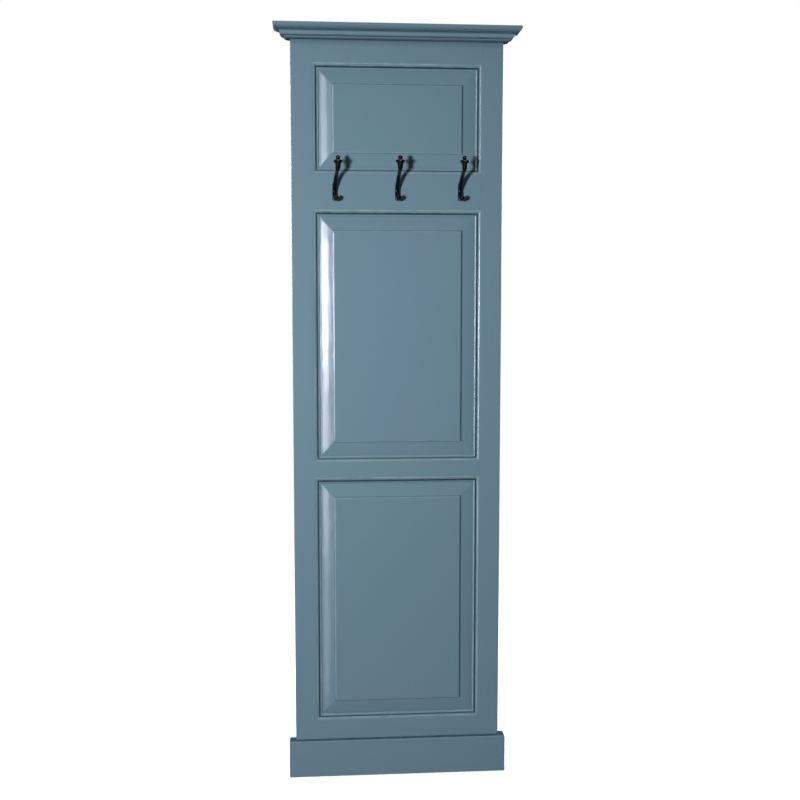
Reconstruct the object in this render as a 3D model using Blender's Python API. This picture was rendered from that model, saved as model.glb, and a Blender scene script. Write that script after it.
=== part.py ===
"""Tall painted coat panel: a three-panel frame with a crown, a plinth and three double coat hooks.

X runs to the right as seen from the front, -Y is the front, +Z is up.
The origin is on the wall face (the back of the frame) at the floor, on the centre line.
All lengths are in metres.
"""
import math

import bmesh
import bpy
from mathutils import Matrix, Vector

MM = 0.001

# ---- driving dimensions -------------------------------------------------------------------
HEIGHT = 2.000            # floor to the top of the crown
HALF_WIDTH = 0.27775      # centre line to the outer edge of a stile
THICK = 0.020             # frame stock
GAP = 0.0003              # clearance between neighbouring pieces
MITRE_GAP = 0.0004        # the same, measured along a mitred piece

# the moulded inner edge of the stiles and rails
STICK = 0.018             # width of the moulding, from the flat face to the sight edge
OVOLO_WIDE, OVOLO_DEEP = 0.0096, 0.0033
QUIRK_DEEP = 0.0062       # floor of the small channel beside the ovolo
BEAD_NEAR, BEAD_FAR, BEAD_TOP = 0.0120, 0.0144, 0.0040
LIP_DEEP = 0.0070         # face to the front wall of the panel groove
GROOVE_WIDE, GROOVE_DEEP = 0.0064, 0.0095

# rail name: (lower sight edge or end, upper sight edge or end)
FRAME_TOP = 1.9840
RAILS = {
    "bottom_rail": (0.0, 0.1693),
    "middle_rail": (0.8055, 0.8798),
    "hook_rail": (1.5150, 1.6403),
    "top_rail": (1.8914, FRAME_TOP),
}
STICK_EDGES = {"bottom_rail": "u", "middle_rail": "lu", "hook_rail": "lu", "top_rail": "l"}
PANELS = {
    "bottom_panel": ("bottom_rail", "middle_rail"),
    "middle_panel": ("middle_rail", "hook_rail"),
    "top_panel": ("hook_rail", "top_rail"),
}
SIGHT_X = 0.2050          # centre line to the sight edge of a stile
FLAT_X = SIGHT_X + STICK  # centre line to the flat face of a stile

# mortise and tenon joints, pegged from the back
TENON_THICK, TENON_LONG, TENON_SHOULDER = 0.0056, 0.036, 0.003
TENON_ROOT = 0.012        # how far the tenon's solid reaches back into its rail
BOTTOM_HAUNCH = 0.030     # the bottom tenon starts this far above the floor
TOP_HAUNCH = 0.020        # the top tenon stops this far below the frame's top, clear of the screws
PEG_R, PEG_LONG, PEG_EASE = 0.0035, 0.0145, 0.0006
PEG_IN = 0.016            # from the stile's flat edge to the peg's middle
# peg heights from the middle of their tenon
PEGS = {
    "bottom_rail": (-0.0325, 0.0325),
    "middle_rail": (0.0,),
    "hook_rail": (-0.0240, 0.0240),
    "top_rail": (0.0,),
}

# raised panels: distance in from the sight edge, depth below the field
TONGUE_DEEP = 0.0085
PANEL_LOW = 0.0072
BEVEL_END, BEVEL_END_LOW = 0.0190, 0.0033
COVE_START, COVE_START_LOW = 0.0250, 0.0027
SHOULDER, SHOULDER_LOW = 0.0345, 0.0008
FIELD_EDGE = 0.0370

# crown: cap board on a bed moulding
CAP_OUT = 0.0430
CAP_LOW = FRAME_TOP + GAP
CAP_EASE = 0.0008
CAP_ROUND = (0.0255, 1.9952)      # middle of the round under the cap's edge
CAP_ROUND_DEEP = 0.0099
CAP_FILLET_OUT = 0.0285           # where the cap's underside turns flat
BED_OUT = 0.0270
BED_ROUND_IN = 0.0172             # middle of the bed's upper round
BED_ROUND_DEEP = 0.0125
BED_QUIRK_IN = 0.0160
BED_BEAD_HIGH = FRAME_TOP - 0.0134
BED_LOW = 1.9645

# plinth
PLINTH_HIGH = 0.1000
PLINTH_FRONT, PLINTH_SIDE = 0.0140, 0.0175
PLINTH_EASE = 0.0035

# hooks: name, x and z of the base's middle, swing of the arms about the vertical (degrees)
HOOKS = (
    ("hook_left", -0.1656, 1.5800, 5.2),
    ("hook_middle", -0.0012, 1.5814, 1.4),
    ("hook_right", 0.1645, 1.5818, 0.8),
)
HOOK_PLATE = (0.0104, 0.0475, 0.0040)   # width, height, thickness
PLATE_MIDDLE = -0.00225                 # plate's middle below the base's middle
PLATE_EASE = 0.0012
PLATE_CORNER = 8                        # steps round each of the plate's ends
HOOK_SCREWS = (0.0145, -0.0200)         # screw heights from the base's middle

# screws: shank radius, head radius, length
HOOK_SCREW = (0.0018, 0.0032, 0.0170)
CAP_SCREW = (0.0020, 0.0040, 0.0340)
PLINTH_SCREW = (0.0020, 0.0040, 0.0290)
CAP_SCREW_X = (-0.2500, 0.0, 0.2500)
PLINTH_SCREW_X = (-0.1700, 0.0, 0.1700)
PLINTH_SCREW_Z = 0.0600
SCREW_POINT = 0.0040                    # length of the tapered tip
DOME_HIGH = 0.0022
SINK_EDGE = 0.0004                      # straight rim of a countersunk head
SLOT_WIDE, SLOT_DEEP = 0.0008, 0.0010
FLUSH = 0.0002                          # heads sit this far below the surface
TOOL_OVER = 0.0020                      # a cutter starts this far outside the surface
ROUND_SIDES = 16


# ---- helpers ------------------------------------------------------------------------------
def clear_scene():
    for obj in list(bpy.data.objects):
        bpy.data.objects.remove(obj, do_unlink=True)


def material(name, color, roughness, metallic=0.0):
    mat = bpy.data.materials.get(name)
    if mat is None:
        mat = bpy.data.materials.new(name)
        mat.use_nodes = True
        shader = mat.node_tree.nodes["Principled BSDF"]
        shader.inputs["Base Color"].default_value = (*color, 1.0)
        shader.inputs["Roughness"].default_value = roughness
        shader.inputs["Metallic"].default_value = metallic
    return mat


def painted(name):
    return material(name + "_paint", (0.155, 0.235, 0.280), 0.38)


def bare_wood(name):
    return material(name + "_wood", (0.52, 0.36, 0.20), 0.65)


def dark_bronze(name):
    return material(name + "_bronze", (0.020, 0.017, 0.014), 0.35, 0.9)


def plated_steel(name):
    return material(name + "_steel", (0.55, 0.53, 0.48), 0.30, 1.0)


def new_object(name, verts, faces, mat=None):
    """A mesh object from points and faces, with its faces made to point outward."""
    mesh = bpy.data.meshes.new(name)
    mesh.from_pydata([tuple(v) for v in verts], [], faces)
    form = bmesh.new()
    form.from_mesh(mesh)
    bmesh.ops.recalc_face_normals(form, faces=form.faces)
    form.to_mesh(mesh)
    form.free()
    obj = bpy.data.objects.new(name, mesh)
    bpy.context.scene.collection.objects.link(obj)
    if mat:
        mesh.materials.append(mat)
    return obj


def smooth(obj, degrees=35.0):
    obj.data.shade_smooth()
    obj.data.set_sharp_from_angle(angle=math.radians(degrees))
    return obj


def as_tool(obj):
    obj.hide_render = True
    obj.display_type = "WIRE"
    return obj


def combine(target, tool, operation="DIFFERENCE"):
    """Cuts the tool out of the target, or joins it on, with an exact Boolean."""
    step = target.modifiers.new(operation.lower(), "BOOLEAN")
    step.operation = operation
    step.solver = "EXACT"
    step.object = as_tool(tool)


def arc(centre, radii, start, end, count):
    """Points on an ellipse's arc; the angles are in degrees."""
    points = []
    for i in range(count + 1):
        a = math.radians(start + (end - start) * i / count)
        points.append((centre[0] + radii[0] * math.cos(a), centre[1] + radii[1] * math.sin(a)))
    return points


def box_shell(low, high):
    (x0, y0, z0), (x1, y1, z1) = low, high
    verts = [(x, y, z) for z in (z0, z1) for x, y in ((x0, y0), (x1, y0), (x1, y1), (x0, y1))]
    faces = [(3, 2, 1, 0), (4, 5, 6, 7), (0, 1, 5, 4), (1, 2, 6, 5), (2, 3, 7, 6), (3, 0, 4, 7)]
    return verts, faces


def lathe_shell(profile, start, axis, sides=ROUND_SIDES):
    """A turned solid: profile holds (radius, distance along the axis), with poles at both ends."""
    turn = Vector((0, 0, 1)).rotation_difference(Vector(axis)).to_matrix().to_4x4()
    place = Matrix.Translation(Vector(start)) @ turn
    verts = [place @ Vector((0, 0, profile[0][1]))]
    for radius, along in profile[1:-1]:
        for k in range(sides):
            a = 2 * math.pi * k / sides
            verts.append(place @ Vector((radius * math.cos(a), radius * math.sin(a), along)))
    verts.append(place @ Vector((0, 0, profile[-1][1])))
    last = len(verts) - 1
    rings = len(profile) - 2
    faces = [(0, 1 + (k + 1) % sides, 1 + k) for k in range(sides)]
    for j in range(rings - 1):
        a, b = 1 + j * sides, 1 + (j + 1) * sides
        faces += [(a + k, a + (k + 1) % sides, b + (k + 1) % sides, b + k) for k in range(sides)]
    top = 1 + (rings - 1) * sides
    faces += [(last, top + k, top + (k + 1) % sides) for k in range(sides)]
    return verts, faces


def rod_shell(start, axis, radius, length, ease=0.0):
    """A round rod, with its two rims bevelled where an ease is given."""
    near = [(radius - ease, 0), (radius, ease)] if ease else [(radius, 0)]
    far = [(radius, length - ease), (radius - ease, length)] if ease else [(radius, length)]
    return lathe_shell([(0, 0)] + near + far + [(0, length)], start, axis)


def shells_object(name, shells, mat=None):
    """Several closed shells in one mesh, for a cutter that makes several holes."""
    verts, faces = [], []
    for points, polygons in shells:
        base = len(verts)
        verts += points
        faces += [tuple(i + base for i in polygon) for polygon in polygons]
    return new_object(name, verts, faces, mat)


# ---- frame: stiles and rails --------------------------------------------------------------
def stick_profile():
    """The moulded edge: (distance in from the flat face, depth below the face), front to back."""
    ovolo = [(x, OVOLO_DEEP + y) for x, y in arc((0, 0), (OVOLO_WIDE, -OVOLO_DEEP), 90, 0, 5)]
    channel = [(OVOLO_WIDE + 0.0002, QUIRK_DEEP), (BEAD_NEAR, QUIRK_DEEP)]
    rise = arc((BEAD_FAR, QUIRK_DEEP), (BEAD_FAR - BEAD_NEAR, BEAD_TOP - QUIRK_DEEP), 180, 90, 3)[1:]
    fall = arc((BEAD_FAR, LIP_DEEP), (STICK - BEAD_FAR, BEAD_TOP - LIP_DEEP), 90, 0, 4)[1:]
    back = LIP_DEEP + GROOVE_WIDE
    groove = [(STICK - GROOVE_DEEP, LIP_DEEP), (STICK - GROOVE_DEEP, back), (STICK, back)]
    return ovolo + channel + rise + fall + groove + [(STICK, THICK), (0.0, THICK)]


def make_stile(name, side):
    """A full-height upright whose moulding stops in a mitre at each rail."""
    profile = stick_profile()
    count = len(profile)
    verts, faces = [], []
    front_line, back_line = [], []
    rings = []
    for lower, upper in PANELS.values():
        ends = ((RAILS[lower][1], -1.0), (RAILS[upper][0], 1.0))
        for sight_z, toward in ends:
            first = len(verts)
            for inset, depth in profile:
                z = sight_z + toward * (STICK - inset)
                verts.append((side * (FLAT_X - inset), depth - THICK, z))
            rings.append(first)
            faces.append(tuple(range(first, first + count)))
            front_line.append(first)
            back_line.append(first + count - 1)
    for low, high in zip(rings[0::2], rings[1::2]):
        faces += [(low + i, low + i + 1, high + i + 1, high + i) for i in range(count - 1)]
    corner = len(verts)
    for z in (0.0, FRAME_TOP):
        for x, y in ((FLAT_X, -THICK), (HALF_WIDTH, -THICK), (HALF_WIDTH, 0.0), (FLAT_X, 0.0)):
            verts.append((side * x, y, z))
    low, high = corner, corner + 4
    faces.append((low, low + 1, low + 2, low + 3))
    faces.append((high, high + 1, high + 2, high + 3))
    faces.append((low + 1, low + 2, high + 2, high + 1))
    faces.append(tuple([low, low + 1, high + 1, high] + front_line[::-1]))
    faces.append(tuple([low + 3, low + 2, high + 2, high + 3] + back_line[::-1]))
    front_line = [low] + front_line + [high]
    back_line = [low + 3] + back_line + [high + 3]
    for i in range(0, len(front_line), 2):
        faces.append((front_line[i], front_line[i + 1], back_line[i + 1], back_line[i]))
    return new_object(name, verts, faces, painted(name))


def rail_flats(name):
    """The heights between which the rail's face is flat."""
    low, high = RAILS[name]
    edges = STICK_EDGES[name]
    return low + (STICK if "l" in edges else 0.0), high - (STICK if "u" in edges else 0.0)


def make_rail(name):
    """A rail whose mouldings meet the stiles' in mitres, with a tenon at each end."""
    low, high = RAILS[name]
    flat_low, flat_high = rail_flats(name)
    profile = stick_profile()
    lower_edge = [(depth, flat_low - inset) for inset, depth in profile]
    if "l" not in STICK_EDGES[name]:
        lower_edge = [(0.0, low), (THICK, low)]
    upper_edge = [(depth, flat_high + inset) for inset, depth in profile][::-1]
    if "u" not in STICK_EDGES[name]:
        upper_edge = [(THICK, high), (0.0, high)]
    loop = lower_edge + upper_edge
    split = len(lower_edge)
    count = len(loop)

    def end_x(z):
        past = max(flat_low - z, z - flat_high, 0.0)
        return FLAT_X - MITRE_GAP - past

    verts = []
    for side in (-1.0, 1.0):
        verts += [(side * end_x(z), depth - THICK, z) for depth, z in loop]
    faces = [(i, (i + 1) % count, count + (i + 1) % count, count + i) for i in range(count)]
    for base in (0, count):
        faces.append((base, base + split - 1, base + split, base + count - 1))
        if "l" in STICK_EDGES[name]:
            faces.append(tuple(range(base, base + split)))
        if "u" in STICK_EDGES[name]:
            faces.append(tuple(range(base + split, base + count)))
    rail = new_object(name, verts, faces, painted(name))
    tenon = shells_object(name + "_tenons", [tenon_shell(name, side, 0.0) for side in (-1, 1)])
    combine(rail, tenon, "UNION")
    return rail


def tenon_span(name):
    """The heights between which a rail's tenon runs."""
    low, high = rail_flats(name)
    if name == "bottom_rail":
        low += BOTTOM_HAUNCH
    if name == "top_rail":
        high -= TOP_HAUNCH
    return low + TENON_SHOULDER, high - TENON_SHOULDER


def tenon_shell(name, side, room):
    """The tenon at one end of a rail, or with room its mortise."""
    low, high = tenon_span(name)
    half = TENON_THICK / 2 + room
    middle = -THICK / 2
    near, far = sorted((side * (FLAT_X - TENON_ROOT), side * (FLAT_X + TENON_LONG + room)))
    return box_shell((near, middle - half, low - room), (far, middle + half, high + room))


def peg_places():
    """Yields each peg's name, its side, its rail and its middle."""
    for rail, offsets in PEGS.items():
        centre = sum(tenon_span(rail)) / 2
        for side, word in ((-1, "left"), (1, "right")):
            for number, offset in enumerate(offsets, 1):
                name = f"peg_{rail.replace('_rail', '')}_{word}"
                if len(offsets) > 1:
                    name += f"_{number}"
                yield name, side, rail, (side * (FLAT_X + PEG_IN), centre + offset)


def make_pegs():
    for name, _, _, (x, z) in peg_places():
        shell = rod_shell((x, -GAP, z), (0, -1, 0), PEG_R, PEG_LONG, PEG_EASE)
        smooth(shells_object(name, [shell], bare_wood(name)))


def peg_holes(keep):
    """The holes of those pegs that keep(side, rail) picks, open at the back."""
    deep = TOOL_OVER + PEG_LONG + 2 * GAP
    holes = []
    for _, side, rail, (x, z) in peg_places():
        if keep(side, rail):
            holes.append(rod_shell((x, TOOL_OVER, z), (0, -1, 0), PEG_R + GAP, deep))
    return holes


# ---- raised panels ------------------------------------------------------------------------
def panel_profile():
    """Distance in from the sight edge, and depth below the field."""
    tongue = [(-TONGUE_DEEP, PANEL_LOW + GAP), (0.0, PANEL_LOW + GAP)]
    bevel = [(BEVEL_END, BEVEL_END_LOW)]
    cove_size = (SHOULDER - COVE_START, COVE_START_LOW - SHOULDER_LOW)
    cove = arc((COVE_START, SHOULDER_LOW), cove_size, 90, 12, 4)
    arris = arc((FIELD_EDGE, SHOULDER_LOW), (FIELD_EDGE - SHOULDER, -SHOULDER_LOW), 180, 90, 3)
    return tongue + bevel + cove + arris


def make_panel(name):
    """A raised and fielded panel whose tongue floats in the frame's groove."""
    lower, upper = PANELS[name]
    low, high = RAILS[lower][1], RAILS[upper][0]
    back = LIP_DEEP + GROOVE_WIDE - GAP
    rings = [(-TONGUE_DEEP, back)] + panel_profile()
    verts, faces = [], []
    for inset, depth in rings:
        x, y = SIGHT_X - inset, depth - THICK
        verts += [(-x, y, low + inset), (x, y, low + inset), (x, y, high - inset), (-x, y, high - inset)]
    for j in range(len(rings) - 1):
        a, b = 4 * j, 4 * (j + 1)
        faces += [(a + k, a + (k + 1) % 4, b + (k + 1) % 4, b + k) for k in range(4)]
    last = 4 * (len(rings) - 1)
    faces += [(0, 1, 2, 3), (last, last + 1, last + 2, last + 3)]
    return new_object(name, verts, faces, painted(name))


# ---- crown and plinth ---------------------------------------------------------------------
def cap_profile():
    """Projection from the frame and height, from the top edge round to the underside."""
    edge = [(CAP_OUT - CAP_EASE, HEIGHT), (CAP_OUT, HEIGHT - CAP_EASE)]
    round_wide = CAP_OUT - CAP_EASE / 2 - CAP_ROUND[0]
    under = arc(CAP_ROUND, (round_wide, -CAP_ROUND_DEEP), 0, 78, 6)
    return edge + under + [(CAP_FILLET_OUT, CAP_LOW)]


def make_cap():
    """The cap board, with one moulding round its front and both ends."""
    verts, faces = [], []
    rings = cap_profile()
    for out, z in rings:
        x, y = HALF_WIDTH + out, -THICK - out
        verts += [(-x, y, z), (x, y, z), (x, 0.0, z), (-x, 0.0, z)]
    for j in range(len(rings) - 1):
        a, b = 4 * j, 4 * (j + 1)
        faces += [(a + k, a + (k + 1) % 4, b + (k + 1) % 4, b + k) for k in range(4)]
    last = 4 * (len(rings) - 1)
    faces += [(0, 1, 2, 3), (last, last + 1, last + 2, last + 3)]
    return new_object("crown_cap", verts, faces, painted("crown_cap"))


def bed_profile():
    """The bed moulding under the cap: an ovolo, a quirk and a flat bead, as a closed outline."""
    ovolo = arc((BED_ROUND_IN, FRAME_TOP), (BED_OUT - BED_ROUND_IN, -BED_ROUND_DEEP), 0, 90, 6)
    quirk = [(BED_QUIRK_IN, FRAME_TOP - BED_ROUND_DEEP), (BED_QUIRK_IN, BED_BEAD_HIGH)]
    bead = arc((GAP, BED_BEAD_HIGH), (BED_QUIRK_IN + GAP, BED_LOW - BED_BEAD_HIGH), 10, 90, 5)
    return [(GAP, FRAME_TOP)] + ovolo + quirk + bead


def plinth_profile(out):
    ease = arc((out - PLINTH_EASE, PLINTH_HIGH - PLINTH_EASE), (PLINTH_EASE, PLINTH_EASE), 90, 0, 4)
    return [(GAP, 0.0), (GAP, PLINTH_HIGH)] + ease + [(out, 0.0)]


def wrap_front(name, profile, front_out, side_out):
    """A strip across the front, mitred at both ends; the profile is for the front."""
    count = len(profile)
    verts = []
    for side in (-1.0, 1.0):
        for out, z in profile:
            x = HALF_WIDTH + out * side_out / front_out - MITRE_GAP / 2
            verts.append((side * x, -THICK - out, z))
    faces = [(i, (i + 1) % count, count + (i + 1) % count, count + i) for i in range(count)]
    faces += [tuple(range(count)), tuple(range(count, 2 * count))]
    return new_object(name, verts, faces, painted(name))


def wrap_side(name, profile, side, front_out, side_out):
    """A return along one side, mitred at the front; the profile is for the side."""
    count = len(profile)
    verts = [
        (side * (HALF_WIDTH + out), -THICK - out * front_out / side_out + MITRE_GAP / 2, z)
        for out, z in profile
    ]
    verts += [(side * (HALF_WIDTH + out), 0.0, z) for out, z in profile]
    faces = [(i, (i + 1) % count, count + (i + 1) % count, count + i) for i in range(count)]
    faces += [tuple(range(count)), tuple(range(count, 2 * count))]
    return new_object(name, verts, faces, painted(name))


# ---- screws -------------------------------------------------------------------------------
def screw_profile(size, domed):
    """Radius and distance from the head's seat, from the top of the head to the point."""
    shank, head, length = size
    if domed:
        dome = arc((0.0, 0.0), (head, -DOME_HIGH), 90, 0, 4)
        crown = [(0.0, -DOME_HIGH)] + dome[1:] + [(shank, 0.0)]
    else:
        crown = [(0.0, 0.0), (head, 0.0), (head, SINK_EDGE), (shank, SINK_EDGE + head - shank)]
    return crown + [(shank, length - SCREW_POINT), (0.0, length)]


def make_screw(name, size, place, axis, domed=False):
    """A slotted wood screw; place is the seat of the head and axis points to the screw's tip."""
    shell = lathe_shell(screw_profile(size, domed), place, axis)
    screw = smooth(shells_object(name, [shell], plated_steel(name)), 50.0)
    top = -DOME_HIGH if domed else 0.0
    seat, along = Vector(place), Vector(axis)
    reach = Vector((1, 0, 0)) * (size[1] + TOOL_OVER)
    width = along.cross(Vector((1, 0, 0))) * (SLOT_WIDE / 2)
    verts = []
    for depth in (top - TOOL_OVER, top + SLOT_DEEP):
        for u, v in ((-1, -1), (1, -1), (1, 1), (-1, 1)):
            verts.append(seat + along * depth + reach * u + width * v)
    faces = box_shell((0, 0, 0), (1, 1, 1))[1]
    combine(screw, new_object(name + "_slot", verts, faces))
    return screw


def sunk_hole(size, place, axis):
    """The clearance for a countersunk screw, open at the head."""
    shank, head, length = size
    rim = SINK_EDGE + GAP
    mouth = [(0, -TOOL_OVER), (head + GAP, -TOOL_OVER), (head + GAP, rim), (shank + GAP, rim + head - shank)]
    return lathe_shell(mouth + [(shank + GAP, length + GAP), (0, length + 2 * GAP)], place, axis)


def hook_screw_places():
    for hook, x, z, _ in HOOKS:
        for word, height in zip(("upper", "lower"), HOOK_SCREWS):
            seat_y = -THICK - GAP - HOOK_PLATE[2] - GAP
            yield f"{hook}_screw_{word}", (x, seat_y, z + height)


def cap_screw_places():
    for word, x in zip(("left", "middle", "right"), CAP_SCREW_X):
        yield f"cap_screw_{word}", (x, -THICK / 2, HEIGHT - FLUSH)


def plinth_screw_places():
    for word, x in zip(("left", "middle", "right"), PLINTH_SCREW_X):
        yield f"plinth_screw_{word}", (x, -FLUSH, PLINTH_SCREW_Z)


# ---- hooks --------------------------------------------------------------------------------
# the arms' centre line, from the finial down and out again to the lower tip, in millimetres:
# projection from the board, height above the base's middle, half width, half thickness
ARM_LINE = (
    (88.5, 55.5, 6.2, 5.6),
    (86.3, 49.6, 5.9, 5.1),
    (80.0, 45.8, 5.6, 4.6),
    (68.0, 42.0, 5.3, 4.3),
    (54.0, 36.4, 5.3, 4.3),
    (40.0, 28.6, 5.6, 4.4),
    (27.0, 19.6, 5.9, 4.7),
    (15.5, 10.0, 6.2, 5.0),
    (8.4, 0.0, 6.3, 5.2),
    (8.8, -9.0, 6.3, 5.0),
    (13.6, -17.0, 6.1, 4.7),
    (21.0, -22.4, 5.8, 4.4),
    (30.0, -25.2, 5.5, 4.2),
    (38.5, -25.0, 5.1, 4.0),
    (43.5, -23.4, 4.7, 3.9),
)
# the turned finial above the arm: radius, height above the base's middle
FINIAL = (
    (6.4, 58.0), (7.0, 60.8), (8.4, 62.8), (11.6, 64.8), (12.9, 66.2), (12.7, 67.6),
    (9.0, 69.2), (4.9, 70.2), (4.5, 71.0), (5.7, 72.8), (6.2, 75.2), (5.5, 77.8), (3.4, 79.9),
)
FINIAL_TOP = 80.6
BALL_CENTRE, BALL_R = (47.2, -21.9), 6.6
BALL_RINGS = (-40, -15, 12, 38, 62)     # angles of the ball's rings from its middle
ARM_STEPS = 2
ARM_SIDES = 14


def smooth_line(points, steps):
    """A Catmull-Rom curve through the points, with the same number of steps in each span."""
    def between(a, b, c, d, t):
        curve = (2 * a - 5 * b + 4 * c - d) * t ** 2 + (3 * b - a - 3 * c + d) * t ** 3
        return 0.5 * (2 * b + (c - a) * t + curve)

    line = []
    for i in range(len(points) - 1):
        p0, p1 = points[max(i - 1, 0)], points[i]
        p2, p3 = points[i + 1], points[min(i + 2, len(points) - 1)]
        for k in range(steps):
            line.append(tuple(between(*column, k / steps) for column in zip(p0, p1, p2, p3)))
    line.append(tuple(points[-1]))
    return line


def hook_rings():
    """The casting's rings (centre, direction, half width, half thickness) and the ball's far end."""
    rings = []
    for radius, height in reversed(FINIAL):
        rings.append(((ARM_LINE[0][0], height), (0.0, -1.0), radius, radius))
    line = smooth_line(ARM_LINE, ARM_STEPS)
    for i, (out, height, wide, thick) in enumerate(line):
        before, after = line[max(i - 1, 0)], line[min(i + 1, len(line) - 1)]
        along = Vector((after[0] - before[0], after[1] - before[1])).normalized()
        if i == 0:
            along = Vector((0.0, -1.0))
        rings.append(((out, height), tuple(along), wide, thick))
    along = (Vector(BALL_CENTRE) - Vector(line[-1][:2])).normalized()
    for degrees in BALL_RINGS:
        a = math.radians(degrees)
        centre = Vector(BALL_CENTRE) + along * (BALL_R * math.sin(a))
        radius = BALL_R * math.cos(a)
        rings.append((tuple(centre), tuple(along), radius, radius))
    return rings, Vector(BALL_CENTRE) + along * BALL_R


def hook_shell(x, z, swing):
    """The two arms, the finial and the ball as one closed tube of changing section."""
    rings, end = hook_rings()
    turn = Matrix.Rotation(math.radians(swing), 3, "Z")
    base = Vector((x, -THICK - GAP, z))

    def place(lateral, out, height):
        return base + turn @ Vector((lateral, -out, height)) * MM

    verts = [place(0.0, ARM_LINE[0][0], FINIAL_TOP)]
    for (out, height), (along_out, along_up), wide, thick in rings:
        for k in range(ARM_SIDES):
            a = 2 * math.pi * k / ARM_SIDES
            side, lift = wide * math.cos(a), thick * math.sin(a)
            verts.append(place(side, out - lift * along_up, height + lift * along_out))
    verts.append(place(0.0, end[0], end[1]))
    last = len(verts) - 1
    faces = [(0, 1 + (k + 1) % ARM_SIDES, 1 + k) for k in range(ARM_SIDES)]
    for j in range(len(rings) - 1):
        a, b = 1 + j * ARM_SIDES, 1 + (j + 1) * ARM_SIDES
        faces += [(a + k, a + (k + 1) % ARM_SIDES, b + (k + 1) % ARM_SIDES, b + k) for k in range(ARM_SIDES)]
    top = last - ARM_SIDES
    faces += [(last, top + k, top + (k + 1) % ARM_SIDES) for k in range(ARM_SIDES)]
    return verts, faces


def plate_shell(x, z):
    """The long back plate with round ends and an eased front edge."""
    width, height, thick = HOOK_PLATE
    straight = height / 2 - width / 2
    edge = arc((PLATE_EASE, thick - PLATE_EASE), (-PLATE_EASE, PLATE_EASE), 0, 90, 3)
    layers = [(0.0, 0.0)] + edge
    verts, faces = [], []
    for inset, out in layers:
        radius = width / 2 - inset
        for half, start in ((1, 0), (-1, 180)):
            for k in range(PLATE_CORNER + 1):
                a = math.radians(start + 180 * k / PLATE_CORNER)
                up = PLATE_MIDDLE + half * straight + radius * math.sin(a)
                verts.append((x + radius * math.cos(a), -THICK - GAP - out, z + up))
    count = 2 * (PLATE_CORNER + 1)
    for j in range(len(layers) - 1):
        a, b = j * count, (j + 1) * count
        faces += [(a + k, a + (k + 1) % count, b + (k + 1) % count, b + k) for k in range(count)]
    last = (len(layers) - 1) * count
    faces += [tuple(range(count)), tuple(range(last, last + count))]
    return verts, faces


def make_hook(name, x, z, swing):
    hook = shells_object(name, [hook_shell(x, z, swing)], dark_bronze(name))
    combine(hook, shells_object(name + "_plate", [plate_shell(x, z)]), "UNION")
    front = -THICK - GAP - HOOK_PLATE[2] - TOOL_OVER
    deep = HOOK_PLATE[2] + 2 * TOOL_OVER
    holes = [
        rod_shell((x, front, z + height), (0, 1, 0), HOOK_SCREW[0] + GAP, deep)
        for height in HOOK_SCREWS
    ]
    combine(hook, shells_object(name + "_holes", holes))
    return smooth(hook)


# ---- assembly -----------------------------------------------------------------------------
def cap_holes(keep):
    """The cap screws' holes, for those screws whose x keep() picks."""
    places = [place for _, place in cap_screw_places() if keep(place[0])]
    return [sunk_hole(CAP_SCREW, place, (0, 0, -1)) for place in places]


def plinth_holes():
    return [sunk_hole(PLINTH_SCREW, place, (0, -1, 0)) for _, place in plinth_screw_places()]


def hook_pilots():
    radius, _, length = HOOK_SCREW
    return [
        rod_shell(place, (0, 1, 0), radius + GAP, length + GAP)
        for _, place in hook_screw_places()
    ]


def stile_cuts(stile, name, side):
    mortises = [tenon_shell(rail, side, GAP) for rail in RAILS]
    combine(stile, shells_object(name + "_mortises", mortises))
    holes = peg_holes(lambda peg_side, rail: peg_side == side)
    holes += cap_holes(lambda x: x * side > 0)
    combine(stile, shells_object(name + "_holes", holes))


def rail_cuts(rail, name):
    holes = peg_holes(lambda side, peg_rail: peg_rail == name)
    if name == "hook_rail":
        holes += hook_pilots()
    if name == "top_rail":
        holes += cap_holes(lambda x: x == 0)
    if name == "bottom_rail":
        holes += plinth_holes()
    combine(rail, shells_object(name + "_holes", holes))


def make_frame():
    for side, word in ((-1, "left"), (1, "right")):
        name = f"{word}_stile"
        stile_cuts(make_stile(name, side), name, side)
    for name in RAILS:
        rail_cuts(make_rail(name), name)
    for name in PANELS:
        make_panel(name)
    make_pegs()


def make_crown():
    combine(make_cap(), shells_object("crown_cap_holes", cap_holes(lambda x: True)))
    wrap_front("crown_mould_front", bed_profile(), 1.0, 1.0)
    for side, word in ((-1, "left"), (1, "right")):
        wrap_side(f"crown_mould_{word}", bed_profile(), side, 1.0, 1.0)
    for name, place in cap_screw_places():
        make_screw(name, CAP_SCREW, place, (0, 0, -1))


def make_plinth():
    front = wrap_front("plinth_front", plinth_profile(PLINTH_FRONT), PLINTH_FRONT, PLINTH_SIDE)
    combine(front, shells_object("plinth_front_holes", plinth_holes()))
    for side, word in ((-1, "left"), (1, "right")):
        wrap_side(f"plinth_{word}", plinth_profile(PLINTH_SIDE), side, PLINTH_FRONT, PLINTH_SIDE)
    for name, place in plinth_screw_places():
        make_screw(name, PLINTH_SCREW, place, (0, -1, 0))


def make_hooks():
    for name, x, z, swing in HOOKS:
        make_hook(name, x, z, swing)
    for name, place in hook_screw_places():
        make_screw(name, HOOK_SCREW, place, (0, 1, 0), domed=True)


clear_scene()
make_frame()
make_crown()
make_plinth()
make_hooks()
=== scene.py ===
"""Looks of the tall painted coat panel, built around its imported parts.

X runs to the right as seen from the front, -Y is the front, +Z is up. All lengths are in metres.
The wood is rebuilt with finer mouldings, softened edges and hand-made unevenness; the hooks are
rebuilt as smooth castings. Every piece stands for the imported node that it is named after.
"""

import math

import bmesh
import bpy
from mathutils import Matrix, Vector, noise


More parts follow.
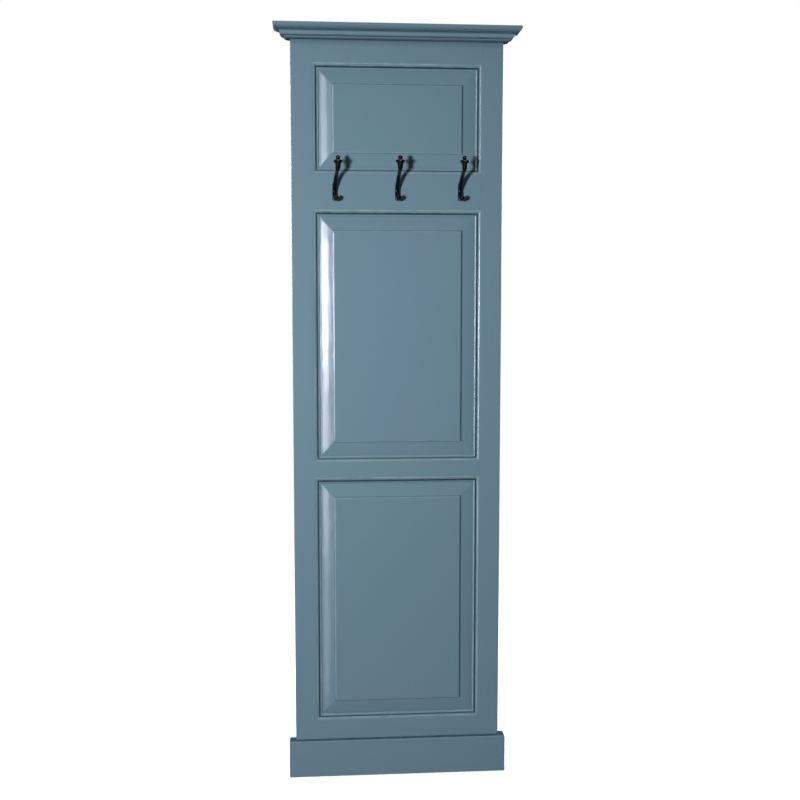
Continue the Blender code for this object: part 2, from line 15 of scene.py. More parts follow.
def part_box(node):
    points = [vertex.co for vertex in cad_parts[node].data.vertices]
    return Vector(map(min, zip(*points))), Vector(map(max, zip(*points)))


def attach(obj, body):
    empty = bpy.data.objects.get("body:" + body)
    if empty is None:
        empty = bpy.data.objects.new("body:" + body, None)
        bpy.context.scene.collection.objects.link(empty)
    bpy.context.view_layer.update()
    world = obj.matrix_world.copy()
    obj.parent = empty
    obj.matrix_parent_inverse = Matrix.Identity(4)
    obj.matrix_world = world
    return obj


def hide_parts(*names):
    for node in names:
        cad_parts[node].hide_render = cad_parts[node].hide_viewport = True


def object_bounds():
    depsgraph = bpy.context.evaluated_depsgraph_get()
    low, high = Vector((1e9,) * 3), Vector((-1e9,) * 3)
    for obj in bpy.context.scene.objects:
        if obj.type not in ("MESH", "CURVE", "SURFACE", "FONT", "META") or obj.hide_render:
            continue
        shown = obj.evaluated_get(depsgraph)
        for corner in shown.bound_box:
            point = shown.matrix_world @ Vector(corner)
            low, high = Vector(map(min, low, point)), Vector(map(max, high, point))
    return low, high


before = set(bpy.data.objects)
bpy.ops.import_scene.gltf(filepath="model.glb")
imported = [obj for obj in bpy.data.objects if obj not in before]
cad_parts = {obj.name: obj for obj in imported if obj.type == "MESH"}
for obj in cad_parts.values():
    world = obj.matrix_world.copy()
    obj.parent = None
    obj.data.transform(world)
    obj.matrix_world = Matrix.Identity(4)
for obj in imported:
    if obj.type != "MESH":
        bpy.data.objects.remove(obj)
cad_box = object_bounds()

MM = 0.001
GAP = 0.0003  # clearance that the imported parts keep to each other
JOINT = 0.00004  # how far a painted joint stands open here
PAST = 0.002  # how far a cutting tool stands out of what it cuts
SLACK = 0.0001  # tolerance for points that lie on a plane
SIDES = ((-1, "left"), (1, "right"))

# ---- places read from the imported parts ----
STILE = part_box("right_stile")
HALF_WIDTH, FRAME_TOP = STILE[1].x, STILE[1].z
THICK = -STILE[0].y
HEIGHT = cad_box[1].z
TONGUE_DEEP = 0.0085
STICK = 0.018  # width of the moulded inner edge
PANEL_BOXES = {name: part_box(name) for name in ("bottom_panel", "middle_panel", "top_panel")}
SIGHT_X = PANEL_BOXES["top_panel"][1].x - TONGUE_DEEP
FLAT_X = SIGHT_X + STICK


def sight_heights(panel):
    low, high = PANEL_BOXES[panel]
    return low.z + TONGUE_DEEP, high.z - TONGUE_DEEP


OPENINGS = [sight_heights(name) for name in PANEL_BOXES]
RAILS = {
    "bottom_rail": (0.0, OPENINGS[0][0]),
    "middle_rail": (OPENINGS[0][1], OPENINGS[1][0]),
    "hook_rail": (OPENINGS[1][1], OPENINGS[2][0]),
    "top_rail": (OPENINGS[2][1], FRAME_TOP),
}

# ---- section of the moulded edge ----
OVOLO_WIDE, OVOLO_DEEP = 0.0093, 0.0033
OVOLO_TILT = (4.0, 34.0)  # slope of the ovolo at its two edges, in degrees
QUIRK_DEEP, QUIRK_LEAN = 0.0062, 0.0002
BEAD_NEAR, BEAD_FAR, BEAD_TOP = 0.0122, 0.0172, 0.0040
BEAD_TILT = (6.0, 36.0)
BEAD_LEAN, BEAD_EASE = 0.0001, 0.0004
LIP_DEEP, LIP_DROP = 0.0070, 0.0005
GROOVE_WIDE, GROOVE_DEEP = 0.0064, 0.0095
OUTER_EASE = 0.0016  # rounding of the stiles' outer front edge

# ---- section of the raised panels ----
PANEL_LOW = 0.0080  # depth of the tongue's front below the field
SHOULDER, STEP_END, FIELD_EDGE = 0.0345, 0.0360, 0.0382
# stretches of the border: end (distance in from the sight edge, depth below the field), slope at
# both ends in degrees, number of steps
BORDER = (
    (0.0070, 0.0062, (16.2, 13.0), 4),  # outer run
    (0.0210, 0.0034, (12.4, 10.2), 5),  # bevel
    (SHOULDER, 0.0012, (9.9, 8.8), 6),  # facet
    (STEP_END, 0.00044, (46.0, 14.0), 5),  # small step up to the field
    (FIELD_EDGE, 0.0, (14.0, 9.0), 4),  # eased edge of the field
)
BORDER_TALL = 1.10  # the border's height at top and bottom over its width at the sides
FIELD_WEAR_AND_HIGHLIGHT, WEAR_REACH = 0.35, 0.0014  # strength and half width of the worn line round the field, also a painted highlight
# painted shade at the foot of the step: strength at top and bottom, at the right, half width
FOOT_SHADE, FOOT_SHADE_RIGHT, FOOT_REACH = 0.30, 0.80, 0.0036

# ---- crown and plinth ----
CAP_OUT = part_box("crown_cap")[1].x - HALF_WIDTH
CAP_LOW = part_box("crown_cap")[0].z
CAP_EASE = 0.0014
CAP_ROUND = (0.0255, 1.9952)  # middle of the round under the cap's edge: projection, height
CAP_ROUND_DEEP = 0.0099
CAP_FILLET_OUT = 0.0285
BED_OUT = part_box("crown_mould_right")[1].x - HALF_WIDTH
BED_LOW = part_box("crown_mould_front")[0].z
BED_ROUND_IN, BED_ROUND_DEEP = 0.0172, 0.0125
BED_QUIRK_IN = 0.0160
BED_BEAD_HIGH = FRAME_TOP - 0.0134
PLINTH_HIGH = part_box("plinth_front")[1].z
PLINTH_FRONT = -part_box("plinth_front")[0].y - THICK
PLINTH_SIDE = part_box("plinth_right")[1].x - HALF_WIDTH
PLINTH_EASE = 0.0035
MITRE = 0.0001  # half the opening of a mitred joint

# ---- unevenness of the hand-sanded, brushed wood ----
SLICE = 0.006
SWAY_MOULD, SWAY_FLAT, SWAY_BEVEL = 0.00020, 0.00010, 0.00016
SWAY_RATE, SIDEWAYS = 42.0, 0.4  # bends per metre, and the share that goes sideways
noise.seed_set(5)  # without a seed the sway would change from run to run
FLAT_MARGIN = 0.0005  # how far the flat faces' sway reaches into the moulding
FIELD_MARGIN = 0.001  # how far the border's sway reaches into the panel's field
FRAME_SHADE_REACH = 0.0004  # how near the frame a strip of trim gets painted shade, as in a corner
JOINT_PLAIN = 0.001  # how near the joints of stile and rail no edge is worn or painted in shade
# the moulding on a stile, above an opening and below one: its channel's painted shade, how far past
# the bead's edge that shade reaches, and its worn lines, also painted highlights (distance in from the
# flat face, half width, strength)
STICK_STILE = (-1.0, 0.0002, ((0.0050, 0.0020, 0.55), (0.0150, 0.0016, 0.55)))
STICK_ABOVE = (-1.0, 0.0012, ((0.0030, 0.0020, 0.75),))
STICK_BELOW = (-0.42, 0.0002, ((0.0056, 0.0022, 0.42), (0.0160, 0.0016, 0.30)))
ARRIS = 0.0004  # rounding of the trim's and panels' edges
FINE_ARRIS = 0.00012  # rounding of the frame's edges, small so that its joints stay closed
FLAT_AREA = 0.00006  # faces larger than this carry no worn edge and no painted shade
EDGE_SHARPNESS = 1500.0  # curvature, per metre, that counts as a full edge
BACKWARD = 0.7  # normals with a larger y belong to the back
SLOPING = 0.04  # normals with a smaller z belong to no upper or lower border

# ---- hooks ----
# node, its place on the rail (x, z), and its arm's swing in degrees
HOOKS = (
    ("hook_left", -0.1656, 1.5800, 5.2),
    ("hook_middle", -0.0012, 1.5814, 1.4),
    ("hook_right", 0.1645, 1.5818, 0.8),
)
HOOK_PLATE = (0.0104, 0.0475, 0.0040)  # width, height, thickness
PLATE_EASE = 0.0018  # rounding of the plate's front edge
PLATE_MIDDLE = -0.00225  # from that place to the plate's middle
HOOK_SCREWS = (0.0145, -0.0200)  # and to the two screws
# the arms' centre line, in millimetres: projection, height, half width, half thickness
ARM_LINE = (
    (88.5, 55.5, 6.9, 6.2), (86.3, 49.6, 6.4, 5.6), (80.0, 45.8, 5.6, 4.6), (68.0, 42.0, 5.3, 4.3),
    (54.0, 36.4, 5.3, 4.3), (40.0, 28.6, 5.6, 4.4), (27.0, 19.6, 5.9, 4.7), (15.5, 10.0, 6.2, 5.0),
    (8.4, 0.0, 6.3, 5.2), (8.8, -9.0, 6.3, 5.0), (13.6, -17.0, 6.1, 4.7), (21.0, -22.4, 5.8, 4.4),
    (30.0, -25.2, 5.5, 4.2), (38.5, -25.0, 5.1, 4.0), (43.5, -23.4, 4.7, 3.9),
)
# the turned finial above the arm, in millimetres: radius, height
FINIAL = (
    (7.4, 58.0), (8.2, 60.8), (9.8, 62.8), (12.0, 64.6), (12.6, 65.8), (12.6, 66.8), (12.2, 67.8),
    (9.4, 69.4), (5.2, 70.2), (4.5, 71.0), (5.7, 72.8), (6.2, 75.2), (5.5, 77.8), (3.4, 79.9),
)
FINIAL_TOP = 80.5
BALL_CENTRE, BALL_R = (47.2, -21.9), 6.5
# places worn to brass or given a painted highlight, in millimetres: middle (sideways, projection,
# height), reach, strength
RUB_AND_GLINT_SPOTS = (
    ((0.0, 101.0, 66.6), 3.6, 1.2),
    # a painted highlight on the plate's left edge
    ((-4.8, 12.4, -1.0), 2.8, 0.9),
    ((0.0, 95.5, 61.0), 3.0, 0.35),
    ((0.0, 94.7, 76.0), 2.6, 0.30),
    ((0.0, 51.0, -17.5), 3.4, 0.35),
)
VOXEL = 0.0006

# ---- screws and pegs ----
# shank radius, head radius, length
HOOK_SCREW = (0.0018, 0.0032, 0.0170)
CAP_SCREW = (0.0020, 0.0040, 0.0340)
PLINTH_SCREW = (0.0020, 0.0040, 0.0290)
HOOK_SEAT, CAP_SEAT, PLINTH_SEAT = 0.0080, 0.0050, 0.0045  # lengths of the tools for their seats
CAP_SCREW_X = (-0.2500, 0.0, 0.2500)
PLINTH_SCREW_X = (-0.1700, 0.0, 0.1700)
PLINTH_SCREW_Z = 0.0600
DOME_HIGH, HEAD_RIM, POINT_LONG = 0.0022, 0.0002, 0.0040
SLOT_WIDE, SLOT_DEEP = 0.0008, 0.0010
SLOT_TURN, NEXT_TURN = 25.0, 47.0  # the first slot's angle and the turn to the next, in degrees
SCREW_ARRIS = 0.00008
FLUSH = 0.0002
PEG_DOME = 0.0006
PEG_TAPER = ((0.98, 0.8), (0.8, 1.0))  # shares of the peg's radius and length
ROUND_SIDES = 32


# ---- mesh helpers ----
def new_piece(name, verts, faces):
    mesh = bpy.data.meshes.new(name)
    mesh.from_pydata([tuple(v) for v in verts], [], faces)
    form = bmesh.new()
    form.from_mesh(mesh)
    bmesh.ops.recalc_face_normals(form, faces=form.faces)
    form.to_mesh(mesh)
    form.free()
    piece = bpy.data.objects.new(name, mesh)
    bpy.context.scene.collection.objects.link(piece)
    return piece


def settle(piece):
    """Turns the piece's modifiers into its mesh."""
    bpy.context.view_layer.update()
    graph = bpy.context.evaluated_depsgraph_get()
    mesh = bpy.data.meshes.new_from_object(piece.evaluated_get(graph))
    piece.modifiers.clear()
    piece.data = mesh


def soften(piece, width, degrees=40.0):
    """Rounds every edge sharper than the angle."""
    step = piece.modifiers.new("soften", "BEVEL")
    step.width = width
    step.segments = 2
    step.limit_method = "ANGLE"
    step.angle_limit = math.radians(degrees)
    settle(piece)


def combine(piece, tool, operation="DIFFERENCE"):
    step = piece.modifiers.new("combine", "BOOLEAN")
    step.operation = operation
    step.solver = "EXACT"
    step.object = tool
    settle(piece)
    bpy.data.objects.remove(tool, do_unlink=True)


def slice_up(piece, axis, step):
    """Cuts the faces along an axis at even steps, so that the surface can sway."""
    form = bmesh.new()
    form.from_mesh(piece.data)
    heights = [vert.co[axis] for vert in form.verts]
    low, high = min(heights), max(heights)
    count = max(1, round((high - low) / step))
    normal = Vector((0.0, 0.0, 0.0))
    normal[axis] = 1.0
    for i in range(1, count):
        point = normal * (low + (high - low) * i / count)
        parts = form.verts[:] + form.edges[:] + form.faces[:]
        bmesh.ops.bisect_plane(form, geom=parts, plane_co=point, plane_no=normal, dist=1e-6)
    form.to_mesh(piece.data)
    form.free()


def sway(piece, strength):
    """Moves the surface in and out by fractions of a millimetre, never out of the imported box."""
    low, high = cad_box
    for vert in piece.data.vertices:
        amount = strength(vert.co)
        shift = noise.noise_vector(vert.co * SWAY_RATE) * amount
        place = vert.co + Vector((shift.x * SIDEWAYS, shift.y, shift.z * SIDEWAYS))
        for axis in range(3):
            near_face = min(vert.co[axis] - low[axis], high[axis] - vert.co[axis])
            if near_face < SLACK:
                place[axis] = vert.co[axis]
            place[axis] = min(max(place[axis], low[axis]), high[axis])
        vert.co = place


def mark_edges(piece):
    """Stores on each point how sharp its edge is: above 0 on an arris, below 0 in a hollow."""
    form = bmesh.new()
    form.from_mesh(piece.data)
    form.normal_update()
    layer = form.verts.layers.float.new("edge")
    for vert in form.verts:
        if not vert.link_faces or max(face.calc_area() for face in vert.link_faces) > FLAT_AREA:
            continue
        bends = []
        for edge in vert.link_edges:
            reach = edge.other_vert(vert).co - vert.co
            bends.append(-2 * vert.normal.dot(reach) / max(reach.length_squared, 1e-10))
        sharpest = max(bends, key=abs)
        vert[layer] = max(-1.0, min(1.0, sharpest / EDGE_SHARPNESS))
    form.to_mesh(piece.data)
    form.free()


def shade(piece, degrees=50.0):
    piece.data.shade_smooth()
    piece.data.set_sharp_from_angle(angle=math.radians(degrees))
    step = piece.modifiers.new("even_shading", "WEIGHTED_NORMAL")
    step.keep_sharp = True


def stand_for(piece, node, slot, materials):
    """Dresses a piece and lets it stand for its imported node."""
    piece.data.materials.clear()
    for mat in materials:
        piece.data.materials.append(mat)
    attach(piece, "root")
    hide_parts(node)


def arc(centre, radii, start, end, count):
    """Points on an ellipse's arc; the angles are in degrees."""
    points = []
    for i in range(count + 1):
        a = math.radians(start + (end - start) * i / count)
        points.append((centre[0] + radii[0] * math.cos(a), centre[1] + radii[1] * math.sin(a)))
    return points


def fade(distance, reach):
    """1 in the middle, falling evenly to 0 at the reach."""
    return max(0.0, 1.0 - distance / reach)


def band_faces(rings, sides, first=0):
    """Faces between rings of points that follow each other."""
    faces = []
    for a in range(first, first + (rings - 1) * sides, sides):
        b = a + sides
        faces += [(a + k, a + (k + 1) % sides, b + (k + 1) % sides, b + k) for k in range(sides)]
    return faces


def stack_faces(rings, sides):
    """Faces between rings, closed by the first ring and the last."""
    last = (rings - 1) * sides
    return band_faces(rings, sides) + [tuple(range(sides)), tuple(range(last, last + sides))]


def pole_faces(rings, sides):
    """Faces between rings, closed by a point before the first and one after the last."""
    last = 1 + rings * sides
    top = last - sides
    faces = [(0, 1 + (k + 1) % sides, 1 + k) for k in range(sides)] + band_faces(rings, sides, 1)
    return faces + [(last, top + k, top + (k + 1) % sides) for k in range(sides)]


def lathe_shell(profile, start, axis):
    """A turned solid: profile holds (radius, distance along the axis), with poles at both ends."""
    turn = Vector((0, 0, 1)).rotation_difference(Vector(axis)).to_matrix().to_4x4()
    place = Matrix.Translation(Vector(start)) @ turn
    verts = [place @ Vector((0, 0, profile[0][1]))]
    for radius, along in profile[1:-1]:
        for k in range(ROUND_SIDES):
            a = 2 * math.pi * k / ROUND_SIDES
            verts.append(place @ Vector((radius * math.cos(a), radius * math.sin(a), along)))
    verts.append(place @ Vector((0, 0, profile[-1][1])))
    return verts, pole_faces(len(profile) - 2, ROUND_SIDES)


def rod_tool(start, axis, radius, length):
    profile = [(0, 0), (radius, 0), (radius, length), (0, length)]
    return new_piece("tool", *lathe_shell(profile, start, axis))


# ---- materials ----
class Nodes:
    """A node tree with short ways to add and link nodes; shift moves its patterns."""

    def __init__(self, tree, shift=(0.0, 0.0, 0.0)):
        self.tree, self.shift = tree, shift

    def feed(self, sockets, values):
        """Links or sets sockets; in their names an underscore stands for a space."""
        for key, value in values.items():
            socket = sockets[key.replace("_", " ") if isinstance(key, str) else key]
            if isinstance(value, bpy.types.NodeSocket):
                self.tree.links.new(value, socket)
            else:
                socket.default_value = value

    def add(self, kind, settings=None, **inputs):
        node = self.tree.nodes.new(kind)
        for key, value in (settings or {}).items():
            setattr(node, key, value)
        self.feed(node.inputs, inputs)
        return node

    def spots(self, scale, stretch=(1.0, 1.0, 1.0), detail=3.0):
        """Noise in the shared frame, with features about 1/scale metres wide."""
        place = self.add("ShaderNodeTexCoord").outputs["Object"]
        mapping = self.add("ShaderNodeMapping", Vector=place, Location=self.shift, Scale=stretch)
        texture = self.add(
            "ShaderNodeTexNoise", Vector=mapping.outputs["Vector"], Scale=scale, Detail=detail
        )
        return texture.outputs["Fac"]

    def span(self, value, low, high, to_low=0.0, to_high=1.0):
        """Maps low..high to the new range, with its ends held."""
        ends = {"From_Min": low, "From_Max": high, "To_Min": to_low, "To_Max": to_high}
        return self.add("ShaderNodeMapRange", Value=value, **ends).outputs["Result"]

    def math(self, operation, *values):
        node = self.add("ShaderNodeMath", {"operation": operation})
        self.feed(node.inputs, dict(enumerate(values)))
        return node.outputs[0]

    def mix(self, share, first, second, kind="RGBA"):
        node = self.add("ShaderNodeMix", {"data_type": kind})
        offset = {"FLOAT": 2, "RGBA": 6}[kind]
        self.feed(node.inputs, {0: share, offset: first, offset + 1: second})
        return node.outputs[{"FLOAT": 0, "RGBA": 2}[kind]]

    def attribute(self, name):
        return self.add("ShaderNodeAttribute", {"attribute_name": name}).outputs["Fac"]

    def bump(self, height, distance, **below):
        return self.add("ShaderNodeBump", Height=height, Distance=distance, **below).outputs["Normal"]


class Shader(Nodes):
    """A new material, with its one surface shader."""

    def __init__(self, name, shift=(0.0, 0.0, 0.0)):
        self.material = bpy.data.materials.new(name)
        self.material.use_nodes = True
        super().__init__(self.material.node_tree, shift)

    def set(self, **inputs):
        self.feed(self.tree.nodes["Principled BSDF"].inputs, inputs)


PAINT = (0.117, 0.203, 0.247, 1.0)
PAINT_BLUE = (0.121, 0.199, 0.258, 1.0)
PAINT_WORN = (0.175, 0.270, 0.312, 1.0)
# the colour of painted shade, in hollows, corners and under the crown
PAINTED_SHADE_COLOUR = (0.011, 0.038, 0.058, 1.0)
# lighter worn paint, also used as painted highlight along the mouldings and the field
PAINT_RUBBED_AND_LIT = (0.34, 0.41, 0.44, 1.0)
TIMBER, TIMBER_DARK = (0.40, 0.28, 0.17, 1.0), (0.27, 0.18, 0.10, 1.0)
BRONZE, BRONZE_LIGHT = (0.005, 0.0042, 0.0045, 1.0), (0.011, 0.0086, 0.0080, 1.0)
BRASS = (0.62, 0.42, 0.17, 1.0)
# a screw's metal, bright and tarnished
SCREW_BRONZE = ((0.09, 0.065, 0.04, 1.0), (0.03, 0.022, 0.016, 1.0))
SCREW_STEEL = ((0.62, 0.60, 0.56, 1.0), (0.28, 0.24, 0.19, 1.0))
PEG_DARK, PEG_LIGHT = (0.23, 0.13, 0.06, 1.0), (0.52, 0.36, 0.20, 1.0)
# features per metre across the grain, and their stretch along it
BRUSH_MARKS, BRUSH_STREAKS = (620.0, 0.010), (170.0, 0.035)
GRAIN_LONG = 0.010
# values of "edge" between which hollows take painted shade, and the darkest share
HOLLOW_FROM, HOLLOW_TO, HOLLOW_SHADE = -0.10, -0.60, 0.90
# heights of the relief
PEEL_RISE, MARK_RISE, STREAK_RISE = 0.00003, 0.00002, 0.00013


def along(grain, share):
    """The stretch of a pattern that runs along the grain: 1 across it, a small share along it."""
    return tuple(share if axis == grain else 1.0 for axis in "XYZ")


def painted_shade_bands(node):
    """Bands of painted shade under the crown, in its hollows and at the plinth: height, reach and
    strength.
    """
    if node == "crown_cap":
        return [(CAP_LOW + 0.001, 0.013, 0.42)]
    if node.startswith("crown_mould"):
        return [(FRAME_TOP, 0.0048, 0.92), (FRAME_TOP - 0.0128, 0.0032, 0.60), (BED_LOW, 0.0050, 0.92)]
    if node.startswith("plinth"):
        return [(PLINTH_HIGH, 0.0012, 0.75)]
    if node in ("top_rail", "left_stile", "right_stile", "bottom_rail"):
        return [(BED_LOW, 0.016, 0.38), (PLINTH_HIGH, 0.0022, 0.50)]
    return []


def paint(name, grain, seed):
    """Gloss paint brushed over timber, thinner on the arrises; painted shade in hollows, painted
    highlights on worn lines.
    """
    shader = Shader(name + "_paint", (seed * 1.37, seed * 0.71, seed * 2.13))

    def brushed(scale, share):
        """Brush marks along the grain, and sideways where a panel's border was brushed across."""
        marks = shader.spots(scale, along(grain, share), 2.0)
        if name in PANEL_BOXES:
            turned = shader.spots(scale, along("X", share), 2.0)
            marks = shader.mix(shader.attribute("across"), marks, turned, "FLOAT")
        return marks

    marks, streaks = brushed(*BRUSH_MARKS), brushed(*BRUSH_STREAKS)
    patches = shader.spots(3.2, (1.0, 1.0, 0.6))
    colour = shader.mix(shader.span(patches, 0.35, 0.65), PAINT, PAINT_BLUE)
    colour = shader.mix(shader.span(marks, 0.30, 0.75, 0.0, 0.08), colour, PAINT_WORN)
    edge = shader.attribute("edge")
    broken = shader.span(shader.spots(55.0), 0.42, 0.60)
    worn = shader.math("MULTIPLY", shader.span(edge, 0.35, 1.0, 0.0, 0.40), broken)
    colour = shader.mix(worn, colour, PAINT_WORN)
    # worn lines, lighter; they are also painted highlights along the mouldings and the field
    line_breaks = shader.span(shader.spots(24.0), 0.36, 0.62, 0.25, 1.0)
    rubbed_and_lit = shader.math("MULTIPLY", shader.attribute("line"), line_breaks)
    colour = shader.mix(rubbed_and_lit, colour, PAINT_RUBBED_AND_LIT)
    # painted shade: the paint darkens in hollows, where shade falls
    hollow = shader.span(edge, HOLLOW_FROM, HOLLOW_TO, 0.0, HOLLOW_SHADE)
    colour = shader.mix(hollow, colour, PAINTED_SHADE_COLOUR)
    place = shader.add("ShaderNodeTexCoord").outputs["Object"]
    height = shader.add("ShaderNodeSeparateXYZ", Vector=place).outputs["Z"]
    # painted shade in bands under the crown and along the plinth's top
    for middle, reach, share in painted_shade_bands(name):
        away = shader.math("ABSOLUTE", shader.math("SUBTRACT", height, middle))
        colour = shader.mix(shader.span(away, 0.0, reach, share, 0.0), colour, PAINTED_SHADE_COLOUR)
    blotches = shader.span(shader.spots(14.0), 0.35, 0.65, 0.40, 0.52)
    shader.set(Base_Color=colour, Roughness=blotches, Specular_IOR_Level=0.07)
    peel = shader.bump(shader.spots(420.0, (0.4, 0.4, 1.0), 1.0), PEEL_RISE)
    fine = shader.bump(marks, MARK_RISE, Normal=peel)
    relief = shader.bump(streaks, STREAK_RISE, Normal=fine)
    shader.set(Coat_Weight=1.0, Coat_Roughness=0.15, Normal=relief, Coat_Normal=relief)
    return shader.material


def thin_coat(name, grain, seed):
    """The back: one thin coat, with the timber's grain telling through it."""
    shader = Shader(name + "_back", (seed * 1.1, seed * 0.9, seed * 1.7))
    stretch = along(grain, GRAIN_LONG)
    grain_lines = shader.spots(140.0, stretch, 5.0)
    fibres = shader.spots(900.0, stretch, 2.0)
    thin = shader.span(shader.spots(11.0, stretch), 0.40, 0.72, 0.0, 0.55)
    timber = shader.mix(shader.span(grain_lines, 0.3, 0.7), TIMBER, TIMBER_DARK)
    share = shader.math("MULTIPLY", thin, shader.span(grain_lines, 0.42, 0.66))
    relief = shader.bump(fibres, 0.00008, Normal=shader.bump(grain_lines, 0.00022))
    rough = shader.span(fibres, 0.3, 0.7, 0.48, 0.66)
    shader.set(Base_Color=shader.mix(share, PAINT, timber), Roughness=rough, Normal=relief)
    return shader.material


def bronze(name, seed):
    """Dark bronze casting, worn to brass on its proud edges, with brass painted highlights."""
    shader = Shader(name + "_bronze", (seed * 1.9, seed * 0.6, seed * 1.3))
    blotches = shader.spots(130.0)
    base = shader.mix(shader.span(blotches, 0.35, 0.65), BRONZE, BRONZE_LIGHT)
    broken = shader.span(shader.spots(420.0), 0.36, 0.62, 0.25, 1.0)
    # worn brass, which also serves as painted highlights
    rub_and_glint = shader.math("MULTIPLY", shader.attribute("rub_and_glint"), broken)
    rough = shader.mix(rub_and_glint, shader.span(blotches, 0.3, 0.7, 0.30, 0.42), 0.27, "FLOAT")
    shader.set(Base_Color=shader.mix(rub_and_glint, base, BRASS), Metallic=0.92, Roughness=rough)
    cast = shader.bump(shader.spots(900.0, detail=2.0), 0.00006)
    relief = shader.bump(shader.spots(240.0, detail=2.0), 0.00012, Normal=cast)
    shader.set(Coat_Weight=0.25, Coat_Roughness=0.20, Normal=relief)
    return shader.material


def screw_metal(name, seed, colours):
    """Turned screw metal with a fine lathe finish and some tarnish."""
    shader = Shader(name + "_metal", (seed * 2.3, seed * 1.1, seed * 0.4))
    tarnish = shader.span(shader.spots(600.0), 0.40, 0.68)
    scratches = shader.spots(2600.0, (0.2, 1.0, 1.0), 1.0)
    rough = shader.span(tarnish, 0.0, 1.0, 0.28, 0.52)
    shader.set(Base_Color=shader.mix(tarnish, *colours), Metallic=1.0, Roughness=rough)
    shader.set(Normal=shader.bump(scratches, 0.00002))
    return shader.material


def end_grain(name, seed, centre):
    """The cut end of a hardwood peg: rings round a point near its middle, and pores."""
    shader = Shader(name + "_endgrain", (seed, seed, seed))
    place = shader.add("ShaderNodeTexCoord").outputs["Object"]
    shift = Vector((-centre.x + 0.004 * math.sin(seed), 0.0, -centre.z + 0.004 * math.cos(seed)))
    mapping = shader.add("ShaderNodeMapping", Vector=place, Location=shift, Scale=(1.0, 0.02, 1.0))
    kind = {"wave_type": "RINGS", "rings_direction": "Y"}
    way = mapping.outputs["Vector"]
    rings = shader.add("ShaderNodeTexWave", kind, Vector=way, Scale=260.0, Distortion=1.6, Detail=2.0)
    pores = shader.spots(2400.0, (1.0, 0.05, 1.0), 1.0)
    tone = shader.math("MULTIPLY", rings.outputs["Fac"], shader.span(pores, 0.35, 0.60, 0.55, 1.0))
    rough = shader.span(pores, 0.3, 0.7, 0.72, 0.55)
    shader.set(Base_Color=shader.mix(tone, PEG_DARK, PEG_LIGHT), Roughness=rough)
    shader.set(Normal=shader.bump(pores, 0.00006))
    return shader.material


# ---- frame members ----
def slope_curve(start, wide, deep, tilts, count):
    """A shallow round from start: its slope grows evenly from the first tilt to the second."""
    points, total = [(0.0, 0.0)], 0.0
    for i in range(count):
        total += math.tan(math.radians(tilts[0] + (tilts[1] - tilts[0]) * (i + 0.5) / count))
        points.append(((i + 1) / count, total))
    return [(start[0] + wide * x, start[1] + deep * y / total) for x, y in points]


def stick_profile():
    """The moulded edge: (distance in from the flat face, depth below the face), front to back."""
    ovolo = slope_curve((0.0, 0.0), OVOLO_WIDE, OVOLO_DEEP, OVOLO_TILT, 10)
    wall = (BEAD_NEAR + BEAD_LEAN, BEAD_TOP + BEAD_EASE)
    channel = [(OVOLO_WIDE + QUIRK_LEAN, QUIRK_DEEP), (BEAD_NEAR, QUIRK_DEEP), wall]
    drop = (BEAD_FAR - BEAD_NEAR) * math.tan(math.radians(sum(BEAD_TILT) / 2))
    bead = slope_curve((BEAD_NEAR + BEAD_EASE, BEAD_TOP), BEAD_FAR - BEAD_NEAR, drop, BEAD_TILT, 8)
    lip = [(STICK, BEAD_TOP + drop + LIP_DROP)]
    bottom, back = STICK - GROOVE_DEEP, LIP_DEEP + GROOVE_WIDE
    groove = [(STICK, LIP_DEEP), (bottom, LIP_DEEP), (bottom, back), (STICK, back)]
    return ovolo + channel + bead + lip + groove + [(STICK, THICK), (0.0, THICK)]


def stile_shell(side):
    """An upright whose moulding stops in a mitre at each rail."""
    profile = stick_profile()
    count = len(profile)
    verts, faces, rings = [], [], []
    for low, high in OPENINGS:
        for sight_z, toward in ((low, -1.0), (high, 1.0)):
            rings.append(len(verts))
            for inset, depth in profile:
                z = sight_z + toward * (STICK - inset)
                verts.append((side * (FLAT_X - inset), depth - THICK, z))
    for first in rings:
        faces.append(tuple(range(first, first + count)))
    for low, high in zip(rings[0::2], rings[1::2]):
        faces += [(low + i, low + i + 1, high + i + 1, high + i) for i in range(count - 1)]
    ease = arc((HALF_WIDTH - OUTER_EASE, OUTER_EASE - THICK), (OUTER_EASE, -OUTER_EASE), 90, 0, 4)
    outline = [(FLAT_X, -THICK)] + ease + [(HALF_WIDTH, 0.0), (FLAT_X, 0.0)]
    low = len(verts)
    high = low + len(outline)
    for z in (0.0, FRAME_TOP):
        verts += [(side * x, y, z) for x, y in outline]
    faces += [tuple(range(low, high)), tuple(range(high, high + len(outline)))]
    for i in range(1, len(outline) - 2):
        faces.append((low + i, low + i + 1, high + i + 1, high + i))
    last = high + len(outline) - 1
    back = [first + count - 1 for first in rings]
    faces.append((low, low + 1, high + 1, high, *rings[::-1]))
    faces.append((high - 1, high - 2, last - 1, last, *back[::-1]))
    front = [low] + rings + [high]
    back = [high - 1] + back + [last]
    for i in range(0, len(front), 2):
        faces.append((front[i], front[i + 1], back[i + 1], back[i]))
    return verts, faces


def rail_flats(name):
    """Heights between which a rail's face is flat."""
    low, high = RAILS[name]
    if name != "bottom_rail":
        low += STICK
    if name != "top_rail":
        high -= STICK
    return low, high


